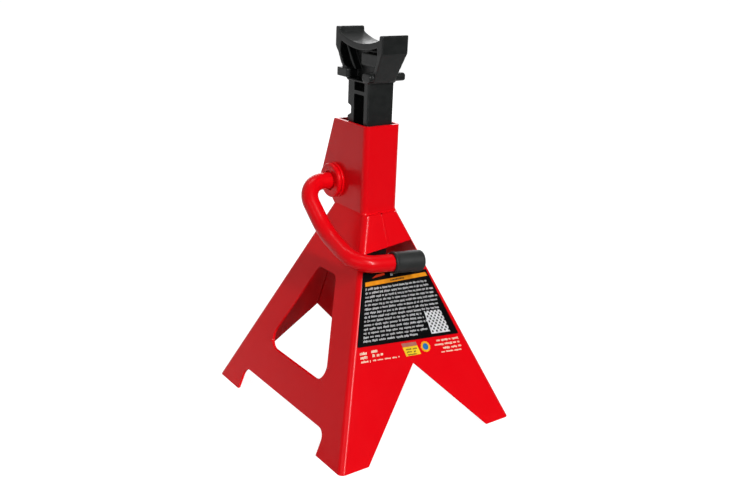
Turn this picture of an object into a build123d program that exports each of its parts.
"""Ratchet jack stand: folded sheet base, welded sleeve, cast ratchet bar and a bent lift handle."""
from math import hypot
import os

from build123d import *

# ---------------------------------------------------------------- driving dimensions, millimetres
# Frame: X to the right along the front face, Y towards the back, Z up.
# Origin: middle of the footprint, on the floor.
base_half_x = 122.0          # half footprint, left to right
base_half_y = 141.0          # half footprint, front to back
base_height = 243.0          # top rim of the folded base
neck_half_x = 23.3           # outside of the rim, left and right of the middle
neck_front = 31.8            # outside of the rim, in front of and behind the middle
neck_back = 35.4
sheet = 3.0                  # base sheet thickness
fold_radius = 6.6            # outside radius of the four folds
seam_gap = 1.6               # gap between the two halves, filled by the seam welds

arch_height = 27.0           # side arch between the feet
arch_half_y = 91.0
arch_radius = 11.0
window_bottom = 66.0         # side windows
window_top = 174.0
window_half_bottom = 66.3
window_half_top = 17.8
window_radius_bottom = 15.0
window_radius_top = 9.0
vee_apex = 86.0              # front and back openings between the legs
vee_half_x = 85.3
slot_bottom = 196.0          # slots below the neck
slot_top_left = 205.5
slot_top_right = 211.3
slot_margins = (6.8, 3.4)    # from the slot's left and right ends to the folds
slot_corner = 1.5

sleeve_half_x = 23.9
sleeve_shift = 1.4           # the sleeve's middle is this far to the right of the base's
sleeve_front = -26.6
sleeve_bottom = base_height + 0.1
sleeve_top = 343.0
sleeve_wall = 3.8
sleeve_fold = 6.6
sleeve_back_top = 37.2       # y of the back edge at the top
sleeve_back_out = (62.5, 272.0)
sleeve_back_low = (32.5, sleeve_bottom)
sleeve_back_radii = {2: 9.0, 3: 3.0}
back_plate_inset = 0.6       # the back plate sits this far inside the side edges

pivot = (33.0, 271.0)        # handle axis, y and z
rod_radius = 9.7
running_clearance = 0.06
boss_steps = ((20.6, 2.7, 1.1), (18.6, 1.3, 0.0), (20.2, 4.2, 3.0))   # radius, thickness, rounding
boss_inner_round = 0.6
boss_out = sleeve_half_x + sleeve_shift + sum(step[1] for step in boss_steps)   # right boss
boss_sink_radius = 11.5      # shallow sink round the rod in the left boss
boss_sink_depth = 2.8

bar_half_x = 17.4            # ratchet bar
bar_front = -20.5
bar_back = 18.7
bar_bottom = 55.0
bar_top = 390.5
front_flange = 7.2
back_flange = 12.7
bar_web_half = 4.5
bar_rib_top = 379.0          # top of the highest rib across the pockets
bar_rib_step = 62.0
bar_rib = 4.0
notch_pitch = 18.0
notch_count = 15
notch_depth = 7.4
notch_ledge = 309.0          # z of the ledge held by the pawl
notch_rise = 2.6             # the ledge climbs this much from root to crest
notch_root = 8.0             # height of the flat root
notch_ramp = 2.4

saddle_half_x = 17.1
cradle_low = 430.0           # lowest line of the cradle
cradle_plate = 7.0
horn_round = 1.6
pad_top = 399.5
pad_round = 4.0

grip_radius = 12.0
grip_start = -14.1
grip_end = 24.0
grip_end_round = 3.0

rod_tail = 5.9               # the rod runs this far out of the right boss
handle_route = (
    (boss_out + rod_tail, pivot[0], pivot[1]),
    (-66.5, pivot[0], pivot[1]),
    (-58.0, -5.0, 221.8),
    (-58.0, -65.5, 201.8),
    (20.0, -77.5, 197.7),
)
handle_bends = (22.0, 60.0, 29.0)

label_corners = ((-41.6, 188.0), (44.4, 177.5), (72.0, 103.0), (-69.0, 116.0))
label_gap = 0.02
label_thick = 0.4


# ---------------------------------------------------------------- helpers
def half_at(z, low, high):
    """Half width at height z of a face that runs from `low` on the floor to `high` at the rim."""
    return low + (high - low) * z / base_height


def slant(low, high):
    """Level thickness of a sloping wall for one unit of sheet thickness."""
    return hypot(1.0, (low - high) / base_height)


def frustum(inset, radius, reach):
    """Four-sided pyramid stump with rounded folds, `inset` inside the outer faces."""
    sections = []
    for z in (-reach, base_height + reach):
        half = half_at(z, base_half_x, neck_half_x) - inset * slant(base_half_x, neck_half_x)
        front = half_at(z, base_half_y, neck_front) - inset * slant(base_half_y, neck_front)
        back = half_at(z, base_half_y, neck_back) - inset * slant(base_half_y, neck_back)
        section = RectangleRounded(2 * half, front + back, radius)
        sections.append(Pos(0, (back - front) / 2, z) * section)
    return loft(sections)


def prism_x(points, radii, half):
    """Outline given as (y, z) points, rounded corner by corner, pushed from -half to +half in X."""
    return extrude(Plane.YZ * outline(points, radii), half, both=True)


def prism_y(points, radii, half):
    """Outline given as (x, z) points, pushed from -half to +half in Y."""
    return extrude(Plane.XZ * outline(points, radii), half, both=True)


def outline(points, radii):
    """Closed face through the points; radii lists the corners that are rounded."""
    face = make_face(Polyline(*points, close=True))
    for index, radius in radii.items():
        spot = Vector(points[index][0], points[index][1], 0)
        corner = min(face.vertices(), key=lambda vertex: (Vector(vertex.center()) - spot).length)
        face = fillet(corner, radius)
    return face


def box(x0, x1, y0, y1, z0, z1):
    """Block between two corners."""
    return Pos((x0 + x1) / 2, (y0 + y1) / 2, (z0 + z1) / 2) * Box(x1 - x0, y1 - y0, z1 - z0)


def side_block(side, x0, x1, y0, y1, z0, z1):
    """Block on the left (side -1) or right (side 1), x0 and x1 counted outwards from the middle."""
    low, high = sorted((side * x0, side * x1))
    return box(low, high, y0, y1, z0, z1)


def disc(radius, x0, x1):
    """Cylinder about the handle axis from x0 to x1."""
    axis = Pos((x0 + x1) / 2, pivot[0], pivot[1]) * Rot(0, 90, 0)
    return axis * Cylinder(radius, abs(x1 - x0))


# ---------------------------------------------------------------- base
def window_outline():
    """Side window, its ends nearly parallel to the folds."""
    points = [
        (-window_half_bottom, window_bottom),
        (window_half_bottom, window_bottom),
        (window_half_top, window_top),
        (-window_half_top, window_top),
    ]
    radii = {0: window_radius_bottom, 1: window_radius_bottom, 2: window_radius_top, 3: window_radius_top}
    return prism_x(points, radii, base_half_x + 10)


def arch_outline():
    """Opening between the feet of one side face."""
    floor = -20.0
    points = [
        (-arch_half_y, floor),
        (arch_half_y, floor),
        (arch_half_y, arch_height),
        (-arch_half_y, arch_height),
    ]
    return prism_x(points, {2: arch_radius, 3: arch_radius}, base_half_x + 10)


def vee_outline():
    """Opening between the legs of the front and back faces."""
    points = [(-vee_half_x, 0.0), (vee_half_x, 0.0), (0.0, vee_apex)]
    below = box(-vee_half_x, vee_half_x, -base_half_y - 10, base_half_y + 10, -20, 0)
    return prism_y(points, {}, base_half_y + 10) + below


def slot_outline():
    """Slot under the neck of one face, cut from the middle plane forwards."""
    corners = ((0, slot_bottom), (1, slot_bottom), (1, slot_top_right), (0, slot_top_left))
    points = []
    for end, z in corners:
        half = half_at(z, base_half_x, neck_half_x) - slot_margins[end]
        points.append((half if end else -half, z))
    radii = {index: slot_corner for index in range(4)}
    return Pos(0, -base_half_y / 2, 0) * prism_y(points, radii, base_half_y / 2)


def make_shell():
    """Whole folded base before it is divided into its two halves."""
    shell = frustum(0.0, fold_radius, 0.0) - frustum(sheet, fold_radius - sheet, 20.0)
    shell -= window_outline()
    shell -= arch_outline()
    shell -= vee_outline()
    shell -= slot_outline()
    shell -= Rot(0, 0, 180) * slot_outline()
    return shell


def make_base(parts):
    """Two halves that meet at the middle of the front and back, and the welds between them."""
    shell = make_shell()
    half_gap = seam_gap / 2
    reach = base_half_y + 20
    parts["base_left_half"] = shell & box(-200, -half_gap, -reach, reach, -10, 300)
    parts["base_right_half"] = shell & box(half_gap, 200, -reach, reach, -10, 300)
    parts["front_seam_welds"] = shell & box(-half_gap, half_gap, -reach, 0, -10, 300)
    parts["back_seam_welds"] = shell & box(-half_gap, half_gap, 0, reach, -10, 300)


# ---------------------------------------------------------------- sleeve
def sleeve_profile(shrink):
    """Side outline of the sleeve, as (y, z) points."""
    return [
        (sleeve_front, sleeve_bottom),
        (sleeve_back_low[0] - shrink, sleeve_bottom),
        (sleeve_back_out[0] - shrink, sleeve_back_out[1]),
        (sleeve_back_top - shrink, sleeve_top),
        (sleeve_front, sleeve_top),
    ]


def make_housing(parts):
    """Front and sides folded from one sheet, closed at the back by a bent plate."""
    inner_half = sleeve_half_x - sleeve_wall
    block = prism_x(sleeve_profile(0.0), sleeve_back_radii, sleeve_half_x)
    folds = block.edges().filter_by(Axis.Z).group_by(Axis.Y)[0]
    block = fillet(folds, sleeve_fold)
    cavity = box(-inner_half, inner_half, sleeve_front + sleeve_wall, 100, 200, 400)
    folds = cavity.edges().filter_by(Axis.Z).group_by(Axis.Y)[0]
    cavity = fillet(folds, sleeve_fold - sleeve_wall)
    bore = disc(rod_radius + running_clearance, -60, 60)
    aside = Pos(sleeve_shift, 0, 0)
    parts["sleeve_shell"] = aside * (block - cavity - bore)

    plate = prism_x(sleeve_profile(back_plate_inset), sleeve_back_radii, inner_half)
    hollow = prism_x(
        [
            (-60.0, sleeve_bottom - 5),
            (sleeve_back_low[0] - 7.0, sleeve_bottom - 5),
            (sleeve_back_out[0] - 5.6, sleeve_back_out[1] - 0.4),
            (sleeve_back_top - 4.65, sleeve_top),
            (sleeve_back_top - 4.65, sleeve_top + 20),
            (-60.0, sleeve_top + 20),
        ],
        {2: 6.0},
        inner_half + 1,
    )
    parts["sleeve_back_plate"] = aside * (plate - hollow)


def weld_ring(half_x, y0, y1, z, side_leg, end_leg):
    """Sloping fillet weld round a rectangle, wider in front and behind than at the sides."""
    centre = (y0 + y1) / 2
    depth = y1 - y0
    foot = RectangleRounded(2 * (half_x + side_leg), depth + 2 * end_leg, sleeve_fold + side_leg)
    crest = RectangleRounded(2 * half_x + 0.5, depth + 0.5, sleeve_fold)
    return loft([Pos(0, centre, z - 0.55 * end_leg) * foot, Pos(0, centre, z + end_leg) * crest])


def make_neck_weld(parts):
    """Bead between the base rim and the sleeve, shaped to both."""
    bead = weld_ring(sleeve_half_x, sleeve_front, sleeve_back_low[0] - 0.5, sleeve_bottom, 1.5, 3.0)
    inside = box(-sleeve_half_x + 1, sleeve_half_x - 1, sleeve_front + 1, sleeve_back_low[0] - 2, 200, 300)
    bead = bead - inside - prism_x(sleeve_profile(0.0), sleeve_back_radii, sleeve_half_x - sleeve_wall)
    bead = Pos(sleeve_shift, 0, 0) * bead
    bead = bead - frustum(0.0, fold_radius, 0.0) - parts["sleeve_shell"]
    parts["neck_weld"] = max(bead.solids(), key=lambda solid: solid.volume)


def make_bosses(parts):
    """Stepped rings welded to both sides of the sleeve, where the handle rod turns."""
    for name, side in (("left", -1), ("right", 1)):
        start = sleeve_half_x + side * sleeve_shift
        boss = None
        for radius, thick, rounding in boss_steps:
            step = disc(radius, side * start, side * (start + thick))
            if rounding:
                rims = step.edges().filter_by(GeomType.CIRCLE).sort_by(Axis.X, reverse=side < 0)
                step = fillet(rims[-1], rounding)
                rims = step.edges().filter_by(GeomType.CIRCLE).sort_by(Axis.X, reverse=side < 0)
                step = fillet(rims[0], boss_inner_round)
            boss = step if boss is None else boss + step
            start += thick
        boss = boss - disc(rod_radius + running_clearance, side * (sleeve_half_x - 3), side * (start + 1))
        if side < 0:
            boss = boss - disc(boss_sink_radius, -start + boss_sink_depth, -start - 1)
        parts[f"{name}_pivot_boss"] = boss


# ---------------------------------------------------------------- ratchet bar and saddle
def notch_cutter(z):
    """One ratchet notch whose ledge meets the crest at height z."""
    root = bar_back - notch_depth
    low = z - notch_rise - notch_root
    points = [
        (bar_back + 5, z + 5 * notch_rise / notch_depth),
        (root, z - notch_rise),
        (root, low),
        (root + 4.6, low - notch_ramp),
        (bar_back, low - notch_ramp - 1.6),
        (bar_back + 5, low - notch_ramp - 1.8),
    ]
    return prism_x(points, {1: 1.4, 2: 1.4, 3: 1.2}, bar_half_x + 1)


def make_ratchet_bar(parts):
    """Cast bar of I section with ratchet notches down its back flange."""
    bar = box(-bar_half_x, bar_half_x, bar_front, bar_back, bar_bottom, bar_top)
    bar = fillet(bar.edges().filter_by(Axis.Z), 1.5)
    bar = chamfer(bar.faces().sort_by(Axis.Z)[0].edges(), 1.2)
    pocket_front = bar_front + front_flange
    pocket_back = bar_back - back_flange
    far = bar_half_x + 1
    high = bar_rib_top - bar_rib
    while high > bar_bottom + bar_rib_step / 2:
        low = max(high - bar_rib_step + bar_rib, bar_bottom + 14.0)
        for side in (-1, 1):
            pocket = side_block(side, bar_web_half, far, pocket_front, pocket_back, low, high)
            bar -= fillet(pocket.edges().filter_by(Axis.X), 2.0)
        high -= bar_rib_step
    for side in (-1, 1):
        bar -= side_block(side, bar_web_half, far, pocket_front, pocket_back, bar_rib_top, bar_top + 1)
    top_ledge = notch_ledge + 3 * notch_pitch
    for index in range(notch_count):
        bar -= notch_cutter(top_ledge - index * notch_pitch)
    stop = Pos(0, (pocket_front + pocket_back) / 2, bar_bottom + 7) * Rot(0, 90, 0)
    bar -= stop * Cylinder(3.0, 60)
    parts["ratchet_bar"] = bar
    parts["bar_stop_pin"] = stop * Cylinder(3.0, 2 * bar_half_x + 1.6)


def make_saddle(parts):
    """Saddle casting: shallow cradle between two horns, ribbed web below, pads on the bar."""
    back_line = [
        (21.5, bar_top),
        (33.5, 400.5),
        (38.0, 408.0),
        (40.5, 415.0),
        (45.9, 423.5),
        (45.6, 444.5),
        (39.2, 444.3),
        (38.6, 438.5),
    ]
    front_line = [
        (-36.3, 436.5),
        (-36.7, 441.0),
        (-42.9, 442.0),
        (-42.3, 422.5),
        (-25.6, bar_top),
    ]
    edges = [
        Polyline(*back_line),
        ThreePointArc(back_line[-1], (0.0, cradle_low), front_line[0]),
        Polyline(*front_line),
        Line(front_line[-1], back_line[0]),
    ]
    face = make_face(edges)
    for corner in (back_line[5], back_line[6], front_line[1], front_line[2]):
        spot = Vector(corner[0], corner[1], 0)
        near = min(face.vertices(), key=lambda vertex: (Vector(vertex.center()) - spot).length)
        face = fillet(near, horn_round)
    body = extrude(Plane.YZ * face, saddle_half_x, both=True)

    pocket_top = cradle_low - cradle_plate
    pocket_line = [
        (35.0, pocket_top + 6.6),
        (36.5, 417.0),
        (33.5, 408.5),
        (29.5, 403.0),
        (19.8, 400.5),
        (19.8, bar_top - 1.0),
        (-15.8, bar_top - 1.0),
        (-15.8, 400.5),
        (-25.5, 401.5),
        (-33.8, 417.0),
        (-33.0, pocket_top + 5.2),
    ]
    pocket_edges = [
        Polyline(*pocket_line),
        ThreePointArc(pocket_line[-1], (0.0, pocket_top), pocket_line[0]),
    ]
    pocket = Plane.YZ * make_face(pocket_edges)
    depth = saddle_half_x - bar_web_half
    for side in (-1, 1):
        body -= Pos(side * (bar_web_half + depth / 2), 0, 0) * extrude(pocket, depth / 2 + 0.01, both=True)

    rib = prism_x([(29.0, 427.6), (32.0, 427.0), (17.0, 404.0), (14.0, 400.5), (10.5, 400.5)], {}, 12.9)
    body += rib
    for side in (-1, 1):
        panel = side_block(side, bar_web_half - 0.5, bar_web_half + 8.4, -33.0, 1.0, 406.5, 420.0)
        body += fillet(panel.edges().filter_by(Axis.X), 2.0)
    for side in (-1, 1):
        wedge = Polyline(
            (side * 14.2, bar_top - 1),
            (side * saddle_half_x, 421.0),
            (side * (saddle_half_x + 10), 421.0),
            (side * (saddle_half_x + 10), bar_top - 1),
            close=True,
        )
        body -= extrude(Plane.XZ * make_face(wedge), 60, both=True)

    front_pad = box(-20.0, 28.0, -26.6, -11.0, bar_top, pad_top)
    front_pad = fillet(front_pad.edges().filter_by(Axis.X), pad_round)
    back_pad = box(-19.5, 19.5, bar_back - 0.3, 39.0, bar_top + 0.4, pad_top + 1.0)
    back_pad = fillet(back_pad.edges().filter_by(Axis.Z), 2.0)
    web = box(-bar_web_half, bar_web_half, -20.0, 20.0, bar_top, pad_top + 2.0)
    parts["saddle"] = body + front_pad + back_pad + web


def make_saddle_weld(parts):
    """Small bead round the top of the bar, below the saddle."""
    bead = box(-bar_half_x - 1.5, bar_half_x + 1.5, bar_front - 1.5, bar_back + 1.5, bar_top - 2.4, bar_top)
    bead = fillet(bead.edges().filter_by(Axis.Z), 2.0)
    bead = chamfer(bead.faces().sort_by(Axis.Z)[0].edges(), 1.2)
    hole = box(-bar_half_x, bar_half_x, bar_front, bar_back, 300, 500)
    hole = fillet(hole.edges().filter_by(Axis.Z), 1.5)
    parts["saddle_weld"] = bead - hole


# ---------------------------------------------------------------- handle
def make_handle(parts):
    """Bent rod, its far-end washer and ring, the rubber grip, and the pawl pinned inside the sleeve."""
    path = FilletPolyline(*handle_route, radius=list(handle_bends))
    start = Plane(origin=path @ 0, z_dir=path % 0)
    rod = sweep(start * Circle(rod_radius), path=path)

    washer = disc(13.8, boss_out + 0.3, boss_out + 2.3) - disc(rod_radius, 0, 60)
    parts["pivot_washer"] = washer
    ring_start = boss_out + 2.5
    ring_stop = ring_start + 1.6
    groove = 1.4
    ring_cut = disc(20.0, ring_start, ring_stop) - disc(rod_radius - groove, 0, 60)
    rod -= ring_cut
    ring = disc(12.2, ring_start, ring_stop) - disc(rod_radius - groove, 0, 60)
    mouth = box(0, 60, pivot[0] - 4.0, pivot[0] + 4.0, pivot[1] - 30, pivot[1])
    parts["retaining_ring"] = ring - mouth
    end_face = rod.faces().sort_by(Axis.X)[-1]
    rod = chamfer(end_face.edges(), 1.2)

    pin_radius = 2.5
    hub = 12.8
    pin = Pos(0, pivot[0], pivot[1]) * Cylinder(pin_radius, 2 * hub - 0.8)
    rod -= pin
    parts["pawl_pin"] = pin
    parts["handle_rod"] = rod

    toe = [
        (33.0, 271.0),
        (20.3, 271.0),
        (20.3, 299.0),
        (13.2, 299.0),
        (13.2, 304.5),
        (21.0, 303.5),
        (44.3, 277.0),
    ]
    pawl_half = 14.0
    pawl = prism_x(toe, {3: 0.8, 4: 1.0, 5: 2.0}, pawl_half) + disc(hub, -pawl_half, pawl_half)
    pawl -= disc(rod_radius, -30, 30)
    parts["pawl"] = pawl - pin

    tail = Vector(*handle_route[-1])
    along = (tail - Vector(*handle_route[-2])).normalized()
    first = tail - along * ((handle_route[-1][0] - grip_start) / along.X)
    length = (grip_end - grip_start) / along.X
    grip_plane = Plane(origin=first, z_dir=along)
    grip = grip_plane * Pos(0, 0, length / 2) * Cylinder(grip_radius, length)
    ends = grip.edges().filter_by(GeomType.CIRCLE).sort_by(Axis.X)
    grip = fillet(ends[-1], grip_end_round)
    grip = fillet(grip.edges().filter_by(GeomType.CIRCLE).sort_by(Axis.X)[0], 0.8)
    socket = (handle_route[-1][0] - grip_start) / along.X
    parts["handle_grip"] = grip - grip_plane * Pos(0, 0, socket / 2 - 5) * Cylinder(rod_radius, socket + 10)


# ---------------------------------------------------------------- label
def make_label(parts):
    """Thin label on the front face, below the slot, cut slightly askew."""
    lean = (base_half_y - neck_front) / base_height
    rounding = {index: 1.2 for index in range(4)}
    prism = Pos(0, -base_half_y / 2, 0) * prism_y(list(label_corners), rounding, base_half_y / 2)
    outside = label_gap + label_thick
    slope = slant(base_half_y, neck_front)
    near = base_half_y + label_gap * slope
    far = base_half_y + outside * slope
    layer = prism_x(
        [
            (-far, 0.0),
            (-near, 0.0),
            (-near + lean * base_height, base_height),
            (-far + lean * base_height, base_height),
        ],
        {},
        base_half_x,
    )
    parts["front_label"] = prism & layer


def main():
    os.makedirs("parts", exist_ok=True)
    parts = {}
    make_base(parts)
    make_housing(parts)
    make_neck_weld(parts)
    make_bosses(parts)
    make_ratchet_bar(parts)
    make_saddle(parts)
    make_saddle_weld(parts)
    make_handle(parts)
    make_label(parts)
    for name, shape in parts.items():
        solids = shape.solids()
        print(name, len(solids), round(sum(solid.volume for solid in solids)))
        export_step(shape if len(solids) > 1 else solids[0], f"parts/{name}.step")


if __name__ == "__main__":
    main()
